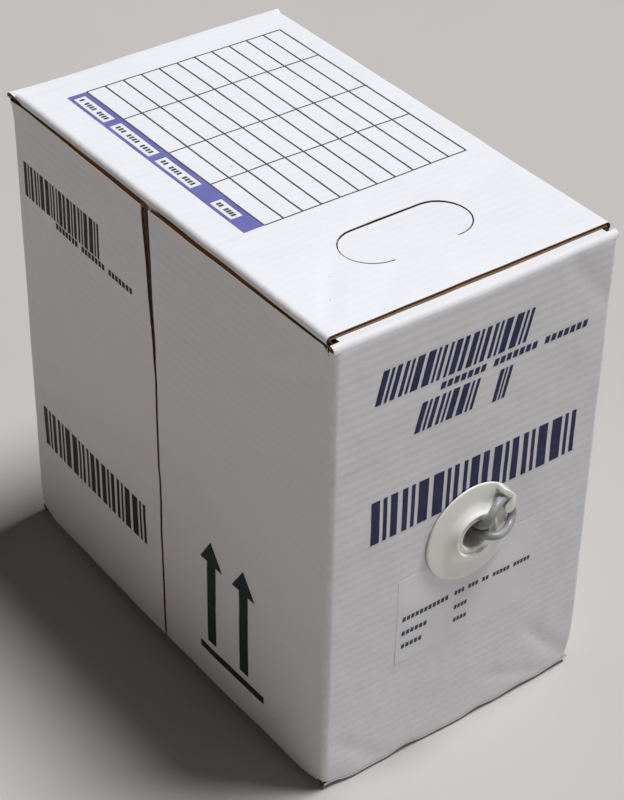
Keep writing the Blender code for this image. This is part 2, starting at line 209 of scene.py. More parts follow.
def white_liner(name, flute_axis, white=(0.77, 0.77, 0.795)):
    """Clay-coated liner: paper mottle, the flutes telegraphing through, scuffs and
    rubbed folds."""
    s = Shader(name, 0.6, 0.35)
    grey = tuple(c * 0.86 for c in white)
    tan = (0.50, 0.43, 0.36)
    cloud = s.ramp(s.noise(9, 3), 0.3, 0.75)
    base = s.mix(s.maths("MULTIPLY", cloud, 0.30), white, grey)
    fibre = s.ramp(s.noise(620, 4, 0.7), 0.35, 0.7)
    base = s.mix(s.maths("MULTIPLY", fibre, 0.22), base, grey)
    flute = s.wave(flute_axis, FLUTE)
    band = s.maths("MULTIPLY", s.ramp(flute, -1, 1), s.ramp(s.noise(14, 2), 0.35, 0.7))
    base = s.mix(s.maths("MULTIPLY", band, 0.16), base, grey)
    along = {"X": (90, 6, 6), "Y": (8, 150, 8), "Z": (8, 8, 150)}[flute_axis]
    rub = s.ramp(s.noise(1.0, 5, 0.7, s.stretched(along)), 0.62, 0.74)
    base = s.mix(s.maths("MULTIPLY", rub, 0.20), base, (0.42, 0.42, 0.45))
    speck = s.ramp(s.noise(240, 2), 0.72, 0.78)
    base = s.mix(s.maths("MULTIPLY", speck, 0.30), base, (0.34, 0.31, 0.28))
    wear = s.maths("MULTIPLY", edge_wear(s), s.ramp(s.noise(150, 5, 0.7), 0.45, 0.62))
    base = s.mix(s.maths("MULTIPLY", wear, 0.55), base, tan)
    s.colour(base)
    s.rough(s.ramp(s.noise(60, 4), 0.2, 0.8, 0.48, 0.66))
    s.bump((flute, 0.035 * MM), (s.noise(500, 4, 0.6), 0.05 * MM),
           (s.noise(34, 2), 0.5 * MM))
    return s.material


def edge_wear(s):
    """1 along the carton's twelve edges, falling off within a few millimetres."""
    reach = 3.2 * MM
    sides = []
    for axis, centre, half in (("X", 0.0, HALF_W), ("Y", 0.0, REAR_Y),
                               ("Z", HEIGHT / 2, HEIGHT / 2)):
        offset = s.maths("ABSOLUTE", s.maths("SUBTRACT", s.axis(axis), centre))
        sides.append(s.ramp(offset, half - reach, half - 0.2 * MM))
    pairs = [s.maths("MULTIPLY", sides[i], sides[j]) for i, j in ((0, 1), (1, 2), (0, 2))]
    return s.maths("MAXIMUM", pairs[0], s.maths("MAXIMUM", pairs[1], pairs[2]))


def kraft(name, tint=(0.40, 0.26, 0.15)):
    """Bare brown board: long fibres, pale flecks and soft mottling."""
    s = Shader(name, 0.85, 0.2)
    dark = tuple(c * 0.62 for c in tint)
    pale = tuple(min(1.0, c * 1.45) for c in tint)
    base = s.mix(s.ramp(s.noise(30, 5), 0.3, 0.7, 0, 0.35), tint, dark)
    fine = s.ramp(s.noise(160, 4), 0.4, 0.7, 0, 0.35)
    base = s.mix(fine, base, dark)
    fibre = s.noise(1.0, 4, 0.65, s.stretched((900, 140, 900)))
    base = s.mix(s.ramp(fibre, 0.5, 0.75, 0, 0.55), base, pale)
    base = s.mix(s.ramp(s.noise(420, 2), 0.68, 0.76, 0, 0.6), base, pale)
    s.colour(base)
    s.rough(s.ramp(s.noise(200, 2), 0.3, 0.7, 0.75, 0.92))
    s.bump((fibre, 0.06 * MM), (s.noise(700, 3), 0.05 * MM))
    return s.material


def ink(name, colour, faded):
    """Flexo ink: uneven cover with pin holes and lighter bands over the flutes."""
    s = Shader(name, 0.62, 0.12)
    base = s.mix(s.ramp(s.noise(55, 4), 0.35, 0.75, 0, 0.7), colour, faded)
    hole = s.ramp(s.noise(900, 2), 0.70, 0.76, 0, 0.35)
    base = s.mix(hole, base, (0.40, 0.40, 0.44))
    band = s.ramp(s.wave("Z", FLUTE), 0.2, 1.0, 0, 0.22)
    base = s.mix(band, base, faded)
    s.colour(base)
    s.rough(s.ramp(s.noise(300, 2), 0.3, 0.7, 0.5, 0.7))
    s.bump((s.noise(600, 3), 0.03 * MM))
    return s.material


def plastic(name, colour, aged, roughness, specular=0.5):
    """Moulded plastic: flow mottling, fine scratches and a matt-to-gloss drift."""
    s = Shader(name, roughness, specular)
    base = s.mix(s.ramp(s.noise(38, 3), 0.35, 0.7, 0, 0.8), colour, aged)
    dust = s.ramp(s.noise(500, 4, 0.7), 0.62, 0.74, 0, 0.25)
    base = s.mix(dust, base, tuple(c * 0.6 for c in colour))
    s.colour(base)
    scratch = s.noise(1.0, 3, 0.7, s.stretched((1500, 60, 320)))
    s.rough(s.ramp(scratch, 0.3, 0.8, roughness - 0.08, roughness + 0.14))
    s.bump((s.noise(420, 3), 0.03 * MM), (scratch, 0.008 * MM))
    s.out.inputs["Subsurface Weight"].default_value = 0.08
    s.out.inputs["Subsurface Radius"].default_value = (0.004, 0.0035, 0.003)
    return s.material


def jacket(name):
    """Grey PVC jacket: a soft sheen, the twisted pairs showing through as slow
    ripples, and scuffs."""
    s = Shader(name, 0.38, 0.5)
    grey, pale, dark = (0.225, 0.228, 0.23), (0.33, 0.333, 0.336), (0.14, 0.14, 0.143)
    base = s.mix(s.ramp(s.noise(120, 4), 0.35, 0.7), grey, pale)
    base = s.mix(s.ramp(s.noise(900, 3), 0.6, 0.72, 0, 0.5), base, dark)
    s.colour(base)
    s.rough(s.ramp(s.noise(320, 3), 0.3, 0.7, 0.3, 0.48))
    s.bump((s.noise(130, 1), 0.5 * MM), (s.noise(1400, 3), 0.03 * MM))
    return s.material


def paper(name):
    """The label's smooth paper, a touch cooler than the carton."""
    s = Shader(name, 0.5, 0.4)
    base = s.mix(s.ramp(s.noise(30, 3), 0.3, 0.7, 0, 0.5), (0.74, 0.735, 0.75),
                 (0.69, 0.69, 0.71))
    base = s.mix(s.ramp(s.noise(700, 4, 0.7), 0.5, 0.75, 0, 0.25), base, (0.6, 0.6, 0.63))
    s.colour(base)
    s.rough(s.ramp(s.noise(260, 3), 0.3, 0.7, 0.42, 0.58))
    s.bump((s.noise(420, 3), 0.03 * MM))
    return s.material


MATERIALS = {
    # One white board in two copies: the copy for the front, rear and side flaps is darker and
    # greyer as painted shade; the copy for the top and the other boards is lighter and bluer as
    # painted light from above.
    "wave_y_lit": white_liner("white_liner_across_lit", "Y", (0.80, 0.80, 0.83)),
    "wave_z_shaded": white_liner("white_liner_upright_shaded", "Z", (0.74, 0.735, 0.75)),
    "kraft": kraft("kraft_medium"),
    "chipboard": kraft("chipboard_grey", (0.36, 0.32, 0.27)),
    "tube": kraft("paper_tube_brown", (0.38, 0.27, 0.18)),
    "navy": ink("ink_navy", (0.030, 0.030, 0.088), (0.050, 0.050, 0.125)),
    "black": ink("ink_black", (0.022, 0.022, 0.026), (0.045, 0.045, 0.050)),
    "violet": ink("ink_violet", (0.125, 0.125, 0.36), (0.19, 0.19, 0.45)),
    "slate": ink("ink_slate", (0.055, 0.058, 0.080), (0.10, 0.104, 0.135)),
    "port": plastic("port_plastic_ivory", (0.84, 0.835, 0.78), (0.78, 0.77, 0.70), 0.36),
    "hub": plastic("hub_plastic_grey", (0.66, 0.66, 0.63), (0.55, 0.55, 0.52), 0.42),
    "jacket": jacket("jacket_grey"),
    "paper": paper("label_paper_white"),
}


# ---- making pieces ----
def new_object(name, data):
    obj = bpy.data.objects.new(name, data)
    bpy.context.scene.collection.objects.link(obj)
    return obj


def bevel_edges(obj, width, segments):
    bevel = obj.modifiers.new("Edges", "BEVEL")
    bevel.width = width
    bevel.segments = segments
    bevel.limit_method = "ANGLE"
    bevel.angle_limit = math.radians(40)


def add_piece(name, mesh, body, materials, replaces=(), sharp=38):
    obj = new_object(name, mesh)
    for key in materials:
        obj.data.materials.append(MATERIALS[key])
    if obj.type == "MESH":
        mesh.shade_smooth()
        mesh.set_sharp_from_angle(angle=math.radians(sharp))
    if body:
        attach(obj, body)
    if replaces:
        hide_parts(*replaces)
    return obj


def add_board(name, mesh, body, wave, replaces=()):
    return add_piece(name, mesh, body, (wave, "kraft"), replaces)


def finish_mesh(name, bm):
    bmesh.ops.recalc_face_normals(bm, faces=bm.faces)
    mesh = bpy.data.meshes.new(name)
    bm.to_mesh(mesh)
    bm.free()
    return mesh


def spaced(stops, step=STEP):
    """Numbers that hit every stop, with no more than a step between them."""
    values = [stops[0]]
    for a, b in zip(stops, stops[1:]):
        count = max(1, math.ceil(abs(b - a) / step - 1e-6))
        values += [a + (b - a) * (i + 1) / count for i in range(count)]
    return values


def slab(bm, rows, cols, place, low, high, keep=None, outer_material=1):
    """A sheet over a grid of (row, column), between two depths below the outer face.
    A depth is a number, or a function of the row."""
    def depth(side, row):
        value = (low, high)[side]
        return value(row) if callable(value) else value

    verts = {}

    def vert(i, j, side):
        if (i, j, side) not in verts:
            point = place(rows[i], cols[j], depth(side, rows[i]))
            verts[i, j, side] = bm.verts.new(point)
        return verts[i, j, side]

    kept = {(i, j) for i in range(len(rows) - 1) for j in range(len(cols) - 1)
            if keep is None or keep((rows[i] + rows[i + 1]) / 2, (cols[j] + cols[j + 1]) / 2)}
    for i, j in sorted(kept):
        corners = [(i, j), (i + 1, j), (i + 1, j + 1), (i, j + 1)]
        outer = bm.faces.new([vert(*c, 0) for c in corners])
        outer.material_index = outer_material
        bm.faces.new([vert(*c, 1) for c in reversed(corners)]).material_index = 1
        for k, (di, dj) in enumerate(((0, -1), (1, 0), (0, 1), (-1, 0))):
            if (i + di, j + dj) in kept:
                continue
            a, b = corners[k], corners[(k + 1) % 4]
            wall = bm.faces.new((vert(*a, 0), vert(*a, 1), vert(*b, 1), vert(*b, 0)))
            wall.material_index = 1


def corrugated(bm, rows, cols, place, keep=None, medium_cols=None):
    """Outer liner, fluted medium and inner liner. The flutes run along the columns'
    direction, so the wave rises and falls from row to row."""
    slab(bm, rows, cols, place, 0.0, LINER, keep, 0)
    slab(bm, rows, cols, place, BOARD - LINER, BOARD, keep)
    swing = (BOARD - 2 * LINER - MEDIUM) / 2 - 0.02 * MM

    def crest(row):
        return BOARD / 2 - MEDIUM / 2 + swing * math.cos(math.tau * row / FLUTE)

    fine = spaced([rows[0], rows[-1]], FLUTE / 8)
    if medium_cols is None:
        medium_cols = cols[::4] + ([cols[-1]] if (len(cols) - 1) % 4 else [])
    slab(bm, fine, medium_cols, place, crest, lambda row: crest(row) + MEDIUM, keep)


def smoothstep(low, high, value):
    t = min(1.0, max(0.0, (value - low) / (high - low)))
    return t * t * (3 - 2 * t)


def arc(centre, radius, start_deg, end_deg, steps):
    return [(centre[0] + radius * math.cos(math.radians(a)),
             centre[1] + radius * math.sin(math.radians(a)))
            for a in (start_deg + (end_deg - start_deg) * i / steps
                      for i in range(steps + 1))]


class Line:
    """A line in a plane, read by its length, with depth measured to its left."""

    def __init__(self, points):
        self.points = [Vector(p) for p in points]
        self.lengths = [0.0]
        for a, b in zip(self.points, self.points[1:]):
            self.lengths.append(self.lengths[-1] + (b - a).length)
        ways = [(b - a).normalized() for a, b in zip(self.points, self.points[1:])]
        joined = [ways[0]] + [(a + b).normalized() for a, b in zip(ways, ways[1:])]
        self.lefts = [Vector((-w.y, w.x)) for w in joined + [ways[-1]]]

    @property
    def end(self):
        return self.lengths[-1]

    def at(self, length, depth):
        i = 0
        while i < len(self.lengths) - 2 and self.lengths[i + 1] < length:
            i += 1
        t = (length - self.lengths[i]) / (self.lengths[i + 1] - self.lengths[i])
        left = self.lefts[i].lerp(self.lefts[i + 1], t).normalized()
        return self.points[i].lerp(self.points[i + 1], t) + left * depth


# ---- how the carton has settled ----
# creases: face, start and end on it (in millimetres), width and depth
CREASES = [
    ("top", (-58, -108), (-98, -160), 5.0, 0.7), ("top", (-50, -92), (-101, -66), 6.0, 0.4),
    ("top", (50, -112), (97, -158), 5.0, 0.7), ("top", (48, -96), (102, -80), 6.0, 0.4),
    ("top", (-70, -168), (-20, -128), 6.0, 0.35), ("top", (22, -129), (66, -168), 6.0, 0.35),
    ("front", (60, 58), (105, 6), 6.0, 1.0), ("front", (28, 30), (86, 4), 5.0, 0.7),
    ("front", (-98, 40), (-60, 5), 6.0, 0.6), ("front", (70, 350), (106, 300), 7.0, 0.6),
    ("side", (-150, 60), (-110, 6), 6.0, 0.9), ("side", (-80, 22), (-20, 8), 5.0, 0.6),
    ("side", (60, 60), (120, 12), 7.0, 0.9), ("side", (130, 40), (172, 90), 6.0, 0.6),
    ("side", (-172, 330), (-120, 300), 7.0, 0.5), ("side", (100, 200), (150, 150), 9.0, 0.4),
]


def crease_depth(face, u, v):
    """How far the creases of a face push a point in."""
    total = 0.0
    point = Vector((u, v)) / MM
    for where, start, end, width, depth in CREASES:
        if where != face:
            continue
        start, run = Vector(start), Vector(end) - Vector(start)
        t = (point - start).dot(run) / run.length_squared
        if not -0.2 < t < 1.2:
            continue
        away = (point - start - run * t).length / width
        if away < 3:
            ends = smoothstep(-0.2, 0.2, t) * smoothstep(1.2, 0.8, t)
            total += depth * MM * math.exp(-away * away) * ends
    return total


def settle(point, bulge=0.0):
    """Where a point of the new carton ends up after packing and handling."""
    p = Vector(point)
    x, y, z = p
    front = smoothstep(FRONT_Y + 12 * MM, FRONT_Y + 3 * MM, y)
    rear = smoothstep(REAR_Y - 12 * MM, REAR_Y - 3 * MM, y)
    top = smoothstep(HEIGHT - 12 * MM, HEIGHT - 3 * MM, z)
    side = smoothstep(HALF_W - 12 * MM, HALF_W - 3 * MM, abs(x))
    sign = 1 if x > 0 else -1
    across = math.cos(math.pi * x / WIDTH)
    along = max(0.0, math.cos(math.pi * y / DEPTH))
    upright = math.sin(math.pi * min(1.0, max(0.0, z / HEIGHT)))
    clear = smoothstep(40 * MM, 62 * MM, math.hypot(x - PORT_X, z - PORT_Z))
    uneven = noise.noise(p * 26) * 0.55 * MM + noise.noise(p * 70) * 0.18 * MM
    move = Vector((0.0, 0.0, 0.0))
    move.x += sign * side * bulge * along * (0.8 + 0.35 * upright)
    move.x += sign * side * (uneven * along - crease_depth("side", y, z)
                             * smoothstep(0.2, 0.5, along + 0.3))
    move.y -= front * clear * (uneven + 0.7 * MM * across * upright
                               - crease_depth("front", x, z))
    move.y += rear * (uneven + 1.2 * MM * across * upright)
    move.z += top * (uneven * across - crease_depth("top", x, y))
    band = front * smoothstep(UNDER_TOP - 8 * MM, UNDER_TOP - 2 * MM, z)
    sag = smoothstep(-HALF_W, 10 * MM, x) * smoothstep(HALF_W, 10 * MM, x)
    move.z -= band * sag * 1.3 * MM * (1 - smoothstep(UNDER_TOP, UNDER_TOP + 1 * MM, z))
    move += corner_crush(p)
    return p + move


def corner_crush(p):
    """The knocked lower corners and the worn lower front fold."""
    move = Vector((0.0, 0.0, 0.0))
    for corner, reach, push in (
            ((-HALF_W, FRONT_Y, 0), 16 * MM, (2.2 * MM, 1.6 * MM, 1.6 * MM)),
            ((HALF_W, FRONT_Y, 0), 20 * MM, (-2.4 * MM, 1.2 * MM, 1.8 * MM)),
            ((-HALF_W, REAR_Y, 0), 14 * MM, (1.6 * MM, -1.4 * MM, 1.2 * MM)),
            ((HALF_W, REAR_Y, 0), 14 * MM, (-1.4 * MM, -1.4 * MM, 1.0 * MM)),
            ((-HALF_W, REAR_Y, HEIGHT), 12 * MM, (-2.4 * MM, 0.4 * MM, 0.5 * MM))):
        away = (p - Vector(corner)).length / reach
        if away < 2.5:
            move += Vector(push) * math.exp(-away * away)
    low = smoothstep(9 * MM, 1 * MM, p.z) * smoothstep(FRONT_Y + 9 * MM, FRONT_Y + 1 * MM, p.y)
    if low > 0:
        knock = max(0.0, noise.noise(Vector((p.x * 38, 3.1, 0.7)))) * 1.8 * MM
        move += Vector((0.0, low * knock, low * knock * 0.8))
    return move


def settled(mesh, bulge=0.0):
    for vert in mesh.vertices:
        vert.co = settle(vert.co, bulge)
    mesh.update()
    return mesh


def cut(mesh, tools, operation="DIFFERENCE"):
    """The mesh after an exact boolean with each tool mesh."""
    obj = new_object("work", mesh)
    helpers = []
    for tool in tools:
        helper = new_object("tool", tool)
        helpers.append(helper)
        modifier = obj.modifiers.new("Cut", "BOOLEAN")
        modifier.operation = operation
        modifier.solver = "EXACT"
        modifier.object = helper
    result = evaluated_mesh(obj)
    for helper in helpers + [obj]:
        bpy.data.objects.remove(helper)
    return result


def evaluated_mesh(obj):
    bpy.context.view_layer.update()
    graph = bpy.context.evaluated_depsgraph_get()
    return bpy.data.meshes.new_from_object(obj.evaluated_get(graph))


def prism(name, outline, place, low, high, material=0):
    """A closed solid over an outline, between two depths, set out by a function of
    (across, up, depth)."""
    bm = bmesh.new()
    rings = [[bm.verts.new(place(u, v, depth)) for u, v in outline] for depth in (low, high)]
    bm.faces.new(rings[0])
    bm.faces.new(rings[1][::-1])
    for i in range(len(outline)):
        j = (i + 1) % len(outline)
        bm.faces.new((rings[0][i], rings[1][i], rings[1][j], rings[0][j]))
    for face in bm.faces:
        face.material_index = material
    return finish_mesh(name, bm)


# ---- faces of the carton, as (across, up, depth) ----
def on_front(u, v, depth):
    return Vector((u, FRONT_Y + depth, v))


def on_rear(u, v, depth):
    return Vector((-u, REAR_Y - depth, v))


def on_left(u, v, depth):
    return Vector((-HALF_W + depth, -u, v))


def on_right(u, v, depth):
    return Vector((HALF_W - depth, u, v))


def on_top(u, v, depth):
    return Vector((u, v, HEIGHT - depth))


def at_port(across, up, out):
    return Vector((PORT_X + across, FRONT_Y - out, PORT_Z + up))


def at_spool(up, rearward, along):
    return Vector((along, rearward, SPOOL_Z + up))


# ---- the sleeve ----
FLAT_HALF = HALF_W - 3.6 * MM           # where a side fold starts
STRIP_HALF = HALF_W - 5 * MM            # where an upright fold starts
TAIL = 0.5 * MM
GAP = 0.3 * MM
FOLD_LOW = FOLD + TAIL + GAP
FADE = 12 * MM                          # length over which a side fold fades out
TAB_LAP = 11 * MM                       # how far the front board turns in at the top
PORT_HOLE_R = 14.6 * MM
CURL_R = 3.4 * MM
CURL = Line([(0, 0), (FLAT_HALF, 0)]
            + arc((FLAT_HALF, -CURL_R), CURL_R, 80, -35, 8)
            + [(INNER_FLAP_X + 0.5 * MM, -7.6 * MM), (INNER_FLAP_X, -9 * MM)])
HANDLE_LOW, HANDLE_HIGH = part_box("handle_flap")
SLOT_GAP = 0.6 * MM                     # between the handle flap and its slot


def curled(line, fade_from, fade_to):
    """Places a sleeve board whose sides fold down into the inner flaps. The fold
    fades out between two lengths where the sleeve turns a corner."""
    def place(a, b, depth):
        sign = 1 if b > 0 else -1
        folded = CURL.at(abs(b), -depth)
        y, z = line.at(a, -folded.y)
        curled_point = Vector((sign * folded.x, y, z))
        share = (HALF_W - FLAT_HALF) / (CURL.end - FLAT_HALF)
        x = min(abs(b), FLAT_HALF) + max(0.0, abs(b) - FLAT_HALF) * share
        y, z = line.at(a, depth)
        flat_point = Vector((sign * x, y, z))
        amount = 1.0
        for low, high in zip(fade_from, fade_to):
            amount *= smoothstep(low, high, a)
        return flat_point.lerp(curled_point, amount)
    return place


def curl_columns(step=STEP):
    right = [length for length in CURL.lengths if length > FLAT_HALF - 1e-9]
    middle = spaced([-FLAT_HALF, FLAT_HALF], step)[1:-1]
    return [-b for b in reversed(right)] + middle + right


def slot_outline(inset, steps=14):
    centre = ((HANDLE_LOW.x + HANDLE_HIGH.x) / 2, (HANDLE_LOW.y + HANDLE_HIGH.y) / 2)
    radius = (HANDLE_HIGH.y - HANDLE_LOW.y) / 2 + SLOT_GAP - inset
    reach = (HANDLE_HIGH.x - HANDLE_LOW.x) / 2 + SLOT_GAP - inset - radius
    return (arc((centre[0] + reach, centre[1]), radius, -90, 90, steps)
            + arc((centre[0] - reach, centre[1]), radius, 90, 270, steps))


def build_top():
    line = Line([(REAR_Y, HEIGHT - FOLD - TAIL)]
                + arc((REAR_Y - FOLD, HEIGHT - FOLD), FOLD, 0, 90, 6)
                + [(TOP_EDGE_Y, HEIGHT)])
    turn = line.lengths[-2]
    bm = bmesh.new()
    corrugated(bm, spaced(line.lengths), curl_columns(),
               curled(line, [turn], [turn + FADE]), None, curl_columns(MEDIUM_STEP))
    mesh = finish_mesh("top_panel_board", bm)
    hole = prism("hole", slot_outline(0), on_top, -5 * MM, 8 * MM, 1)
    mesh = settled(cut(mesh, [hole]))
    add_board("top_board", mesh, "carton", "wave_y_lit", ["top_panel"])


def build_bottom():
    line = Line([(FRONT_Y, FOLD + TAIL)]
                + arc((FRONT_Y + FOLD, FOLD), FOLD, 180, 270, 6)
                + arc((REAR_Y - FOLD, FOLD), FOLD, -90, 0, 6)
                + [(REAR_Y, FOLD + TAIL)])
    first, last = line.lengths[7], line.lengths[-8]
    bm = bmesh.new()
    corrugated(bm, spaced(line.lengths, COARSE_STEP), curl_columns(),
               curled(line, [first, last], [first + FADE, last - FADE]), None,
               curl_columns(MEDIUM_STEP))
    mesh = settled(finish_mesh("bottom_panel_board", bm))
    add_board("bottom_board", mesh, "carton", "wave_y_lit", ["bottom_panel"])


def build_front():
    """The front board goes on over its upper fold, under the top board's raw edge.
    Above the upright folds it is as wide as the carton, with raw ends."""
    line = Line([(FRONT_Y + TAB_LAP, UNDER_TOP), (FRONT_Y + FOLD + TAIL, UNDER_TOP)]
                + arc((FRONT_Y + FOLD, UNDER_TOP - FOLD), FOLD, 90, 180, 6)
                + [(FRONT_Y, FOLD_LOW)])
    tab_end, fold_end = line.lengths[1], line.lengths[-2]
    tab_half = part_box("glue_tab")[1].x

    def keep(a, b):
        if a < tab_end:
            return abs(b) < tab_half
        return a < fold_end or abs(b) < STRIP_HALF

    def place(a, b, depth):
        y, z = line.at(a, depth)
        return Vector((b, y, z))

    stops = [-HALF_W, -STRIP_HALF, -tab_half, tab_half, STRIP_HALF, HALF_W]
    bm = bmesh.new()
    corrugated(bm, spaced(line.lengths), spaced(stops), place, keep,
               spaced(stops, MEDIUM_STEP))
    mesh = finish_mesh("front_panel_board", bm)
    circle = arc((0, 0), PORT_HOLE_R, 0, 350, 35)
    hole = prism("hole", circle, at_port, -8 * MM, 8 * MM, 1)
    mesh = settled(cut(mesh, [hole]))
    add_board("front_board", mesh, "carton", "wave_z_shaded", ["front_panel"])

    low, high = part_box("glue_tab")
    bm = bmesh.new()
    rows = spaced([FRONT_Y + TAB_LAP + 0.2 * MM, high.y], COARSE_STEP)
    corrugated(bm, rows, spaced([low.x, high.x], COARSE_STEP),
               lambda a, b, depth: Vector((b, a, UNDER_TOP - depth)))
    mesh = settled(finish_mesh("glue_tab_board", bm))
    add_board("glue_tab_board_piece", mesh, "carton", "wave_y_lit", ["glue_tab"])


def build_rear():
    bm = bmesh.new()
    rows = spaced([FOLD_LOW, HEIGHT - FOLD_LOW], COARSE_STEP)
    cols = spaced([-STRIP_HALF, STRIP_HALF], COARSE_STEP)
    corrugated(bm, rows, cols, lambda a, b, depth: on_rear(b, a, depth))
    mesh = settled(finish_mesh("rear_panel_board", bm))
    add_board("rear_board", mesh, "carton", "wave_z_shaded", ["rear_panel"])


# ---- the ends ----
SEAM_Y = 4 * MM
SEAM_GAP = 2.4 * MM
SEAM_WEDGE = 8.4 * MM
SEAM_WEDGE_Y = 12.5 * MM
SEAM_WEDGE_Z = 228 * MM
FRONT_CORNER = 5 * MM
FLAP_TOP = FLAP_HIGH - 1 * MM
INNER_ROOT = 9.2 * MM                   # where an inner flap leaves its fold
INNER_STEP = 6 * MM
FOLD_STEP = 1.5 * MM


def seam_edge(z, way):
    """How far back the free edge of an outer flap is at a height."""
    t = max(0.0, (z - SEAM_WEDGE_Z) / (FLAP_HIGH - SEAM_WEDGE_Z))
    middle = SEAM_Y + (SEAM_WEDGE_Y - SEAM_Y) * t
    jog = 0.7 * MM * smoothstep(152 * MM, 146 * MM, z)
    return middle - jog - way * (SEAM_GAP + (SEAM_WEDGE - SEAM_GAP) * t) / 2


def build_outer_flap(side, side_name, which):
    way, hinge_y = (1, FRONT_Y) if which == "front" else (-1, REAR_Y)
    body = f"{side_name}_{which}_flap"

    def near_edge(z):
        cut_back = max(0.0, z - (FLAP_TOP - FRONT_CORNER)) if which == "front" else 0.0
        return hinge_y + way * (HALF_W - STRIP_HALF + cut_back)

    def place(z, t, depth):
        y = near_edge(z) + (seam_edge(z, way) - near_edge(z)) * t
        return Vector((side * (HALF_W - depth), y, z))

    bm = bmesh.new()
    rows = spaced([FLAP_LOW, FLAP_TOP - FRONT_CORNER, FLAP_TOP])
    corrugated(bm, rows, spaced([0.0, 1.0], STEP / (DEPTH / 2)), place)
    mesh = settled(finish_mesh(f"{body}_board", bm), SIDE_BULGE)
    add_board(f"{body}_board_piece", mesh, body, "wave_z_shaded", [body])

    fold_top = UNDER_TOP - FOLD - 0.1 * MM if which == "front" else FLAP_TOP
    corner = (side * (HALF_W - FOLD), hinge_y + way * FOLD)
    start_deg = -90 * way
    end_deg = 0 if side > 0 else -180 * way
    line = Line([(side * STRIP_HALF, hinge_y)] + arc(corner, FOLD, start_deg, end_deg, 8)
                + [(side * HALF_W, hinge_y + way * (HALF_W - STRIP_HALF))])
    inward = side * way

    def fold_place(z, length, depth):
        x, y = line.at(length, inward * depth)
        return Vector((x, y, z))

    bm = bmesh.new()
    cols = spaced(line.lengths, FOLD_STEP)
    corrugated(bm, spaced([FLAP_LOW, fold_top]), cols, fold_place, None, cols)
    mesh = settled(finish_mesh(f"{body}_fold", bm), SIDE_BULGE)
    strip = add_board(f"{body}_fold_strip", mesh, None, "wave_z_shaded")
    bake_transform(strip)


def build_inner_flap(side, side_name, which):
    node = f"{side_name}_{which}_flap"
    low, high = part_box(node)
    root = HEIGHT - INNER_ROOT if which == "top" else INNER_ROOT
    ends = [low.z, root] if which == "top" else [root, high.z]
    bm = bmesh.new()
    corrugated(bm, spaced([low.y, high.y], INNER_STEP), spaced(ends, INNER_STEP),
               lambda a, b, depth: Vector((side * (INNER_FLAP_X - depth), a, b)))
    mesh = finish_mesh(f"{node}_board", bm)
    for vert in mesh.vertices:
        wobble = noise.noise(vert.co * 18) * 0.12 * MM
        vert.co.x -= side * abs(wobble)
    add_board(f"{node}_board_piece", mesh, "carton", "wave_y_lit", [node])


# ---- the hand hold ----
CREASE_HALF = 24 * MM                   # half the length of the handle's score
CREASE_BED = 2.6 * MM                   # how far the crease reaches into the flap
HANDLE_TRIM = 0.35 * MM
HANDLE_SINK = 0.8 * MM                  # how low the free edge sits
CREASE_STEP = 0.4 * MM
CREASE_END_GAP = 0.1 * MM


def build_handle():
    """The push-in flap, and the crease that holds it to the top board."""
    centre_x = (HANDLE_LOW.x + HANDLE_HIGH.x) / 2
    bed = HANDLE_LOW.y + CREASE_BED
    left, right = centre_x - CREASE_HALF, centre_x + CREASE_HALF
    lip = HANDLE_LOW.y + HANDLE_TRIM
    notch = [(left, lip), (left, bed), (right, bed), (right, lip)]
    board = flap_board(slot_outline(SLOT_GAP + HANDLE_TRIM) + notch)
    reach = HANDLE_HIGH.y - HANDLE_LOW.y
    for vert in board.vertices:
        vert.co.z -= HANDLE_SINK * smoothstep(0.1, 1.0, (vert.co.y - HANDLE_LOW.y) / reach)
    add_board("handle_flap_board", settled(board), "handle_flap", "wave_y_lit", ["handle_flap"])
    bm = bmesh.new()
    rows = spaced([HANDLE_LOW.y - SLOT_GAP, bed], CREASE_STEP)
    cols = spaced([left + CREASE_END_GAP, right - CREASE_END_GAP])
    slab(bm, rows, cols, lambda a, b, depth: on_top(b, a, depth), 0.02 * MM, LINER, None, 0)
    slab(bm, rows, cols, lambda a, b, depth: on_top(b, a, depth), LINER, BOARD)
    mesh = settled(finish_mesh("handle_crease_board", bm))
    crease = add_board("handle_crease", mesh, None, "wave_y_lit")
    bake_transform(crease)


def flap_board(outline):
    """A die-cut board: a white liner over a pressed brown edge."""
    liner = prism("liner", outline, on_top, 0.0, LINER, 0)
    body = prism("body", outline, on_top, LINER, BOARD, 1)
    bm = bmesh.new()
    bm.from_mesh(liner)
    bm.from_mesh(body)
    return finish_mesh("handle_flap_mesh", bm)


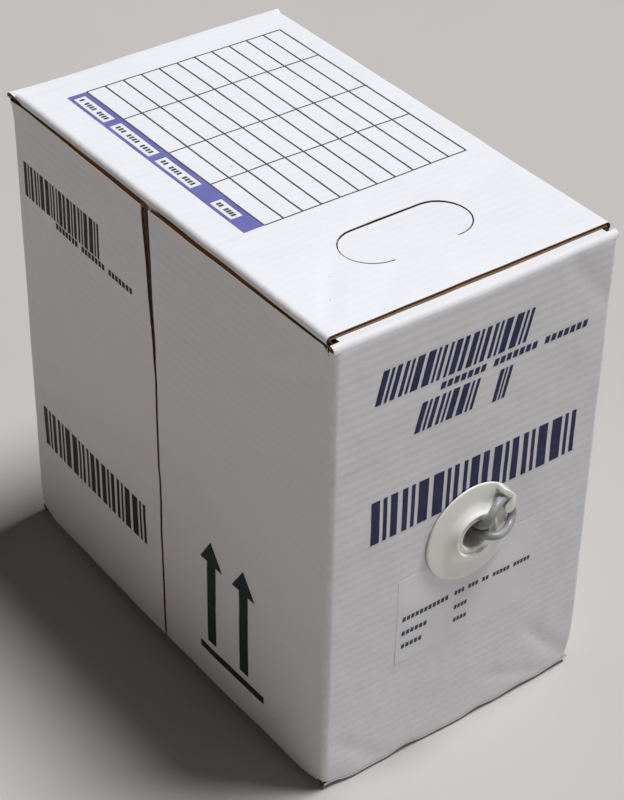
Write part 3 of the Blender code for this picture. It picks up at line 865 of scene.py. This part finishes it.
# ---- print ----
class Print:
    """Flat shapes of ink on one face of the carton, given in millimetres."""

    def __init__(self, name, face, body, inks, bulge=0.0, lift=0.0):
        self.name, self.face, self.body = name, face, body
        self.inks, self.bulge, self.lift = inks, bulge, lift
        self.bm = bmesh.new()

    def quad(self, corners, colour=0):
        """A patch between four corners, in order round it."""
        a, b, c, d = (Vector(corner) * MM for corner in corners)

        def place(s, t, depth):
            u, v = a.lerp(b, s).lerp(d.lerp(c, s), t)
            return self.face(u, v, depth - self.lift)

        rows = spaced([0.0, 1.0], INK_STEP / max((b - a).length, (c - d).length))
        cols = spaced([0.0, 1.0], INK_STEP / max((d - a).length, (c - b).length))
        first = len(self.bm.faces)
        slab(self.bm, rows, cols, place, -INK_GAP - INK_THICK, -INK_GAP)
        self.bm.faces.ensure_lookup_table()
        for face in self.bm.faces[first:]:
            face.material_index = colour

    def box(self, u0, v0, u1, v1, slant=0.0, colour=0):
        self.quad([(u0 + slant * v0, v0), (u1 + slant * v0, v0), (u1 + slant * v1, v1),
                   (u0 + slant * v1, v1)], colour)

    def motif(self, u0, v0, u1, v1, count, slant=0.0, colour=0):
        """Groups of plain upright bars, in place of a word."""
        pitch = (u1 - u0) / count
        width = pitch * 0.84
        for i in range(count):
            left = u0 + i * pitch - slant * v0
            for start, end in BAR_GROUPS[i * 3 % len(BAR_GROUPS)]:
                self.box(left + width * start, v0, left + width * end, v1, slant, colour)

    def words(self, u0, v0, u1, v1, lengths, slant=0.0, colour=0):
        """A line of small dashes, a dash for a letter, in place of small print."""
        cells = sum(lengths) + len(lengths) - 1
        pitch = (u1 - u0) / cells
        cursor = u0 - slant * v0
        for word in lengths:
            for i in range(word):
                self.box(cursor + pitch * 0.10, v0, cursor + pitch * 0.82,
                         v0 + (v1 - v0) * 0.8, slant, colour)
                cursor += pitch
            cursor += pitch

    def done(self):
        mesh = settled(finish_mesh(self.name, self.bm), self.bulge)
        add_piece(self.name, mesh, self.body, self.inks, ())


# bars of each group, as shares of its width
BAR_GROUPS = (
    ((0.0, 0.32), (0.45, 0.60), (0.74, 1.0)), ((0.0, 0.15), (0.29, 0.62), (0.76, 1.0)),
    ((0.0, 0.40), (0.54, 0.68), (0.82, 1.0)), ((0.0, 0.20), (0.34, 0.48), (0.62, 1.0)),
)
ITALIC = 0.26


def print_front(face, name):
    art = Print(name, face, "carton", ("navy", "slate"))
    art.motif(-77.5, 301, 40, 324, 7, ITALIC)
    art.words(-29, 293, 88, 299, [7, 7, 7], ITALIC)
    art.motif(-47, 268, 0, 289, 3, ITALIC)
    art.motif(13, 266, 25, 288, 1, ITALIC)
    art.motif(-77, 196, 91, 229, 7, 0.0)
    art.done()


def print_label():
    art = Print("label_print", on_front, "carton", ("slate", "black"), 0.0, 0.12 * MM)
    for v0, label, value in ((119.5, 11, (3, 3, 2, 5, 5)), (107.5, 6, (4,)), (96.5, 5, (4,))):
        art.words(-49, v0, -49 + label * 3.5, v0 + 4.4, [label], 0.1)
        width = (sum(value) + len(value) - 1) * 2.9
        art.words(-6, v0 + 0.4, -6 + width, v0 + 4.4, value, 0.1)
    art.done()


def print_side(face, side_name, mirrored):
    """Words on the rear flap and two arrows on the front one. On the far side the
    words come first, so they fall on the front flap."""
    words, arrows = (("front", "rear") if mirrored else ("rear", "front"))
    art = Print(f"{side_name}_words_print", face, f"{side_name}_{words}_flap",
                ("black", "slate"), SIDE_BULGE)
    art.motif(-166.5, 283, -67, 309.5, 7)
    art.words(-126, 277.5, -29, 283, [7, 7, 7])
    art.motif(-162.5, 74, -20, 108.5, 7)
    art.done()
    art = Print(f"{side_name}_arrows_print", face, f"{side_name}_{arrows}_flap",
                ("black",), SIDE_BULGE)
    for tip in (55.5, 91.5):
        art.quad([(tip - 12.5, 111), (tip + 12.5, 111), (tip + 0.15, 130), (tip - 0.15, 130)])
        art.box(tip - 4.8, 41, tip + 4.8, 111.5)
    art.box(41.5, 29.5, 113.5, 35.5)
    art.done()


def print_top():
    """The log table, with a violet heading strip down its left side."""
    left, right, front, rear = -67.3, 89.5, -54.5, 148.0
    art = Print("top_table_print", on_top, "carton", ("slate",))
    thin = 1.2
    for i in range(12):
        x = left + (right - left) * i / 11
        art.box(x - thin / 2, front, x + thin / 2, rear)
    for y in (front, 3.4, 50.2, 102.8, rear):
        art.box(left, y - 0.5, right, y + 0.5)
    art.done()
    strip = Print("top_heading_print", on_top, "carton", ("violet", "slate"))
    x0, x1 = -82.3, left - thin / 2
    inner0, inner1 = x0 + 2.4, x1 - 3.2
    boxes = ((-37.5, -14.5), (6.5, 47.0), (53.8, 99.6), (106.5, 143.5))
    edges = [front] + [e for pair in boxes for e in pair] + [rear]
    for y0, y1 in zip(edges[::2], edges[1::2]):
        strip.box(x0, y0, x1, y1)
    for y0, y1 in boxes:
        strip.box(x0, y0, inner0, y1)
        strip.box(inner1, y0, x1, y1)
        count = max(4, round((y1 - y0) / 3.4))
        middle = (inner0 + inner1) / 2
        for i in range(count):
            if i % 5 == 4:
                continue
            v = y0 + 2.2 + (y1 - y0 - 4.4) * (i + 0.5) / count
            strip.box(middle - 1.9, v - 0.95, middle + 1.7, v + 0.95, 0.0, 1)
    strip.done()


def build_label():
    low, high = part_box("spec_label")
    bm = bmesh.new()
    lifted = Vector((low.x, low.z))

    def place(v, u, depth):
        away = (Vector((u, v)) - lifted).length / (9 * MM)
        return on_front(u, v, depth - 0.02 * MM - 0.3 * MM * math.exp(-away * away))

    slab(bm, spaced([low.z, high.z]), spaced([low.x, high.x]), place, -0.1 * MM, 0.0, None, 0)
    mesh = settled(finish_mesh("label_sheet", bm))
    add_piece("label_sheet_piece", mesh, "carton", ("paper", "paper"), ["spec_label"])


# ---- the payout port ----
def spline(points, count):
    """Points on a Catmull-Rom curve through the given ones, ends included."""
    given = [Vector(p) for p in points]
    given = [2 * given[0] - given[1]] + given + [2 * given[-1] - given[-2]]
    made = []
    for a, b, c, d in zip(given, given[1:], given[2:], given[3:]):
        for i in range(count):
            t = i / count
            made.append(0.5 * (2 * b + (c - a) * t + (2 * a - 5 * b + 4 * c - d) * t ** 2
                               + (3 * b - a - 3 * c + d) * t ** 3))
    return made + [given[-2]]


def turned(bm, profile, segments, place):
    """A solid of revolution from closed (radius, along) points, set out by a function
    of (cosine part, sine part, along)."""
    rings = []
    for i in range(segments):
        angle = math.tau * i / segments
        rings.append([bm.verts.new(place(r * math.cos(angle), r * math.sin(angle), along))
                      for r, along in profile])
    for i, ring in enumerate(rings):
        following = rings[(i + 1) % segments]
        for j in range(len(profile)):
            k = (j + 1) % len(profile)
            bm.faces.new((ring[j], ring[k], following[k], following[j]))


def softened(mesh, width, segments=3):
    obj = new_object("soften", mesh)
    bevel_edges(obj, width, segments)
    result = evaluated_mesh(obj)
    bpy.data.objects.remove(obj)
    return result


def sector(inner, outer, start_deg, end_deg, steps=14):
    return (arc((0, 0), outer, start_deg, end_deg, steps)
            + arc((0, 0), inner, end_deg, start_deg, steps))


def build_port():
    """The trumpet mouth, its wide rim with a window, and the finger that keeps the
    loop of cable in it."""
    mouth = spline([(14.4, 5.4), (15.0, 7.0), (15.8, 7.4), (16.6, 7.0), (18.2, 5.2),
                    (20.8, 3.7), (24.4, 2.8), (34.6, 2.2), (35.6, 1.9), (36.0, 1.4),
                    (36.0, 0.8)], 4)
    barrel = [(14.0, 0.8), (14.0, -15.0), (13.7, -15.7), (13.2, -16.0), (11.6, -16.0)]
    bore = spline([(10.2, -14.8), (10.2, 3.0), (10.6, 5.4), (11.2, 6.2), (12.0, 6.0),
                   (12.8, 5.4)], 4)
    profile = [(r * MM, out * MM) for r, out in mouth + barrel + bore]
    bm = bmesh.new()
    turned(bm, profile, 144, at_port)
    body = finish_mesh("payout_port_body", bm)
    window = prism("window", sector(26.2 * MM, 34.4 * MM, -8, 45), at_port, -6 * MM, 6 * MM)
    body = cut(body, [window])
    finger = (arc((25.0 * MM, 12.4 * MM), 4.3 * MM, -10, -215, 22)
              + arc((0, 0), 32.2 * MM, 38, 57, 9) + arc((0, 0), 35.4 * MM, 57, 34, 12))
    blade = softened(prism("finger", finger, at_port, 7.5 * MM, 8.8 * MM), 0.45 * MM)
    root = softened(prism("root", sector(32.2 * MM, 35.4 * MM, 49, 57, 6), at_port,
                          1.2 * MM, 8.6 * MM), 0.35 * MM)
    body = cut(body, [blade, root], "UNION")
    add_piece("payout_port_moulding", body, "carton", ("port",), ["payout_port"],
              32)


# ---- the cable ----
def build_lead():
    route = [at_port(across * MM, up * MM, out * MM) for across, up, out in LEAD_ROUTE_MM]
    points = spline(route, 4)
    curve = bpy.data.curves.new("cable_lead_line", "CURVE")
    curve.dimensions = "3D"
    curve.bevel_depth = CABLE_D / 2
    curve.bevel_resolution = 6
    curve.use_fill_caps = True
    line = curve.splines.new("POLY")
    line.points.add(len(points) - 1)
    for point, place in zip(line.points, points):
        point.co = (*place, 1)
    line.use_smooth = True
    lead = add_piece("cable_lead_cord", curve, "carton", ("jacket",), ["cable_lead"])


def tube(bm, centres, radius, sides=8):
    """A closed tube along a list of centre points round the spool's axis."""
    rings = []
    for i, centre in enumerate(centres):
        ahead = centres[min(i + 1, len(centres) - 1)] - centres[max(i - 1, 0)]
        out = Vector((0, centre.y, centre.z - SPOOL_Z)).normalized()
        across = ahead.cross(out).normalized()
        rings.append([bm.verts.new(centre + radius * (math.cos(a) * out + math.sin(a) * across))
                      for a in (math.tau * k / sides for k in range(sides))])
    for one, two in zip(rings, rings[1:]):
        for k in range(sides):
            n = (k + 1) % sides
            bm.faces.new((one[k], one[n], two[n], two[k]))
    bm.faces.new(rings[0])
    bm.faces.new(rings[-1])


TURN_STEPS = 72                         # points round one turn of cable
LAYER_STEPS = 96                        # the same round the layers beneath


def build_winding():
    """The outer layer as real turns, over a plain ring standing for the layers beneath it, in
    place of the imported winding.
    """
    bm = bmesh.new()
    turns = int(2 * WINDING_HALF / (CABLE_D * 1.01)) - 1
    middle_r = WINDING_R - CABLE_D / 2 - 0.4 * MM
    run = 2 * WINDING_HALF - CABLE_D - 1 * MM
    centres = []
    for i in range(turns * TURN_STEPS + 1):
        angle = math.tau * i / TURN_STEPS
        wobble = Vector((i * 0.011, 4.7, 1.3))
        r = middle_r + noise.noise(wobble) * 0.35 * MM
        x = -run / 2 + run * i / (turns * TURN_STEPS)
        centres.append(at_spool(r * math.cos(angle), r * math.sin(angle), x))
    tube(bm, centres, CABLE_D / 2 - 0.02 * MM)
    inner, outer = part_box("spool_core")[1].z - SPOOL_Z + GAP, middle_r - 1.2 * MM
    ring = [(outer, -WINDING_HALF), (outer, WINDING_HALF), (inner, WINDING_HALF),
            (inner, -WINDING_HALF)]
    turned(bm, ring, LAYER_STEPS, at_spool)
    add_piece("cable_turns", finish_mesh("cable_turns_mesh", bm), "spool", ("jacket",),
              ["cable_winding"])


# ---- pieces kept from the CAD ----
KEPT = {
    "port_lock_ring": "hub", "axle_tube": "tube", "axle_pad_left": "kraft",
    "axle_pad_right": "kraft", "axle_collar_left": "hub", "axle_collar_right": "hub",
    "spool_core": "tube", "spool_flange_left": "chipboard",
    "spool_flange_right": "chipboard", "hub_bush_left": "hub", "hub_bush_right": "hub",
}


def dress_kept_nodes():
    for node, key in KEPT.items():
        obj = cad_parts[node]
        for slot in obj.material_slots:
            slot.material = MATERIALS[key]
        bevel_edges(obj, 0.25 * MM, 2)


# ---- camera, light and floor ----
def build_camera():
    a, e = CAMERA_AZIMUTH, CAMERA_ELEVATION
    back = Vector((math.sin(a) * math.cos(e), -math.cos(a) * math.cos(e), math.sin(e)))
    right = Vector((math.cos(a), math.sin(a), 0))
    up = back.cross(right)
    cos_r, sin_r = math.cos(CAMERA_ROLL), math.sin(CAMERA_ROLL)
    right_r = cos_r * right + sin_r * up
    up_r = -sin_r * right + cos_r * up
    camera = bpy.data.cameras.new("camera")
    camera.lens = CAMERA_LENS
    camera.sensor_width = CAMERA_SENSOR
    obj = new_object("camera", camera)
    place = (Vector((0, 0, HEIGHT / 2)) - CAMERA_OFFSET[0] * right_r
             - CAMERA_OFFSET[1] * up_r + CAMERA_DISTANCE * back)
    turn = Matrix((right_r, up_r, back)).transposed().to_4x4()
    obj.matrix_world = Matrix.Translation(place) @ turn
    bpy.context.scene.camera = obj


def add_sun(name, toward, angle, power, colour):
    """Soft light from one direction, the same wherever it reaches."""
    light = bpy.data.lights.new(name, "SUN")
    light.angle = angle
    light.energy = power
    light.color = colour
    obj = new_object(name, light)
    obj.rotation_euler = Vector(toward).to_track_quat("Z", "Y").to_euler()


HORIZON_GLOW, CEILING_GLOW = 0.28, 0.04
FLOOR_HALF = 14.0


def build_world():
    """A dim studio ceiling with a pale band round the horizon, so low views end in a pale wall."""
    world = bpy.data.worlds.new("studio")
    world.use_nodes = True
    nodes = world.node_tree.nodes
    links = world.node_tree.links
    where = nodes.new("ShaderNodeTexCoord")
    height = nodes.new("ShaderNodeSeparateXYZ")
    fade = nodes.new("ShaderNodeMapRange")
    for key, value in (("From Min", 0.04), ("From Max", 0.26), ("To Min", HORIZON_GLOW),
                       ("To Max", CEILING_GLOW)):
        fade.inputs[key].default_value = value
    links.new(where.outputs["Generated"], height.inputs["Vector"])
    links.new(height.outputs["Z"], fade.inputs["Value"])
    links.new(fade.outputs["Result"], nodes["Background"].inputs["Strength"])
    nodes["Background"].inputs["Color"].default_value = (1.0, 0.98, 0.95, 1)
    bpy.context.scene.world = world


def build_studio():
    build_world()
    bpy.context.scene.view_settings.view_transform = "Standard"
    add_sun("key", (0.70, -0.24, 2.0), 0.35, 3.75, (0.965, 0.975, 1.0))
    add_sun("front_fill", (0.35, -1.0, 0.14), 0.6, 0.32, (1.0, 0.98, 1.0))
    add_sun("left_fill", (-1.0, 0.04, 0.10), 0.6, 0.13, (1.0, 0.76, 0.55))
    bm = bmesh.new()
    bmesh.ops.create_grid(bm, x_segments=2, y_segments=2, size=FLOOR_HALF)
    floor = new_object("floor", finish_mesh("floor", bm))
    s = Shader("floor_paper", 0.8, 0.2)
    s.colour(s.mix(s.noise(3, 2), (0.46, 0.44, 0.42), (0.49, 0.47, 0.45)))
    floor.data.materials.append(s.material)


def main():
    build_camera()
    build_lead()
    build_top()
    build_bottom()
    build_front()
    build_rear()
    for side, side_name in ((-1, "left"), (1, "right")):
        for which in ("front", "rear"):
            build_outer_flap(side, side_name, which)
        for which in ("top", "bottom"):
            build_inner_flap(side, side_name, which)
    build_handle()
    build_label()
    print_front(on_front, "front_print")
    print_front(on_rear, "rear_print")
    print_label()
    print_side(on_left, "left", False)
    print_side(on_right, "right", True)
    print_top()
    build_port()
    build_winding()
    dress_kept_nodes()
    build_studio()


main()
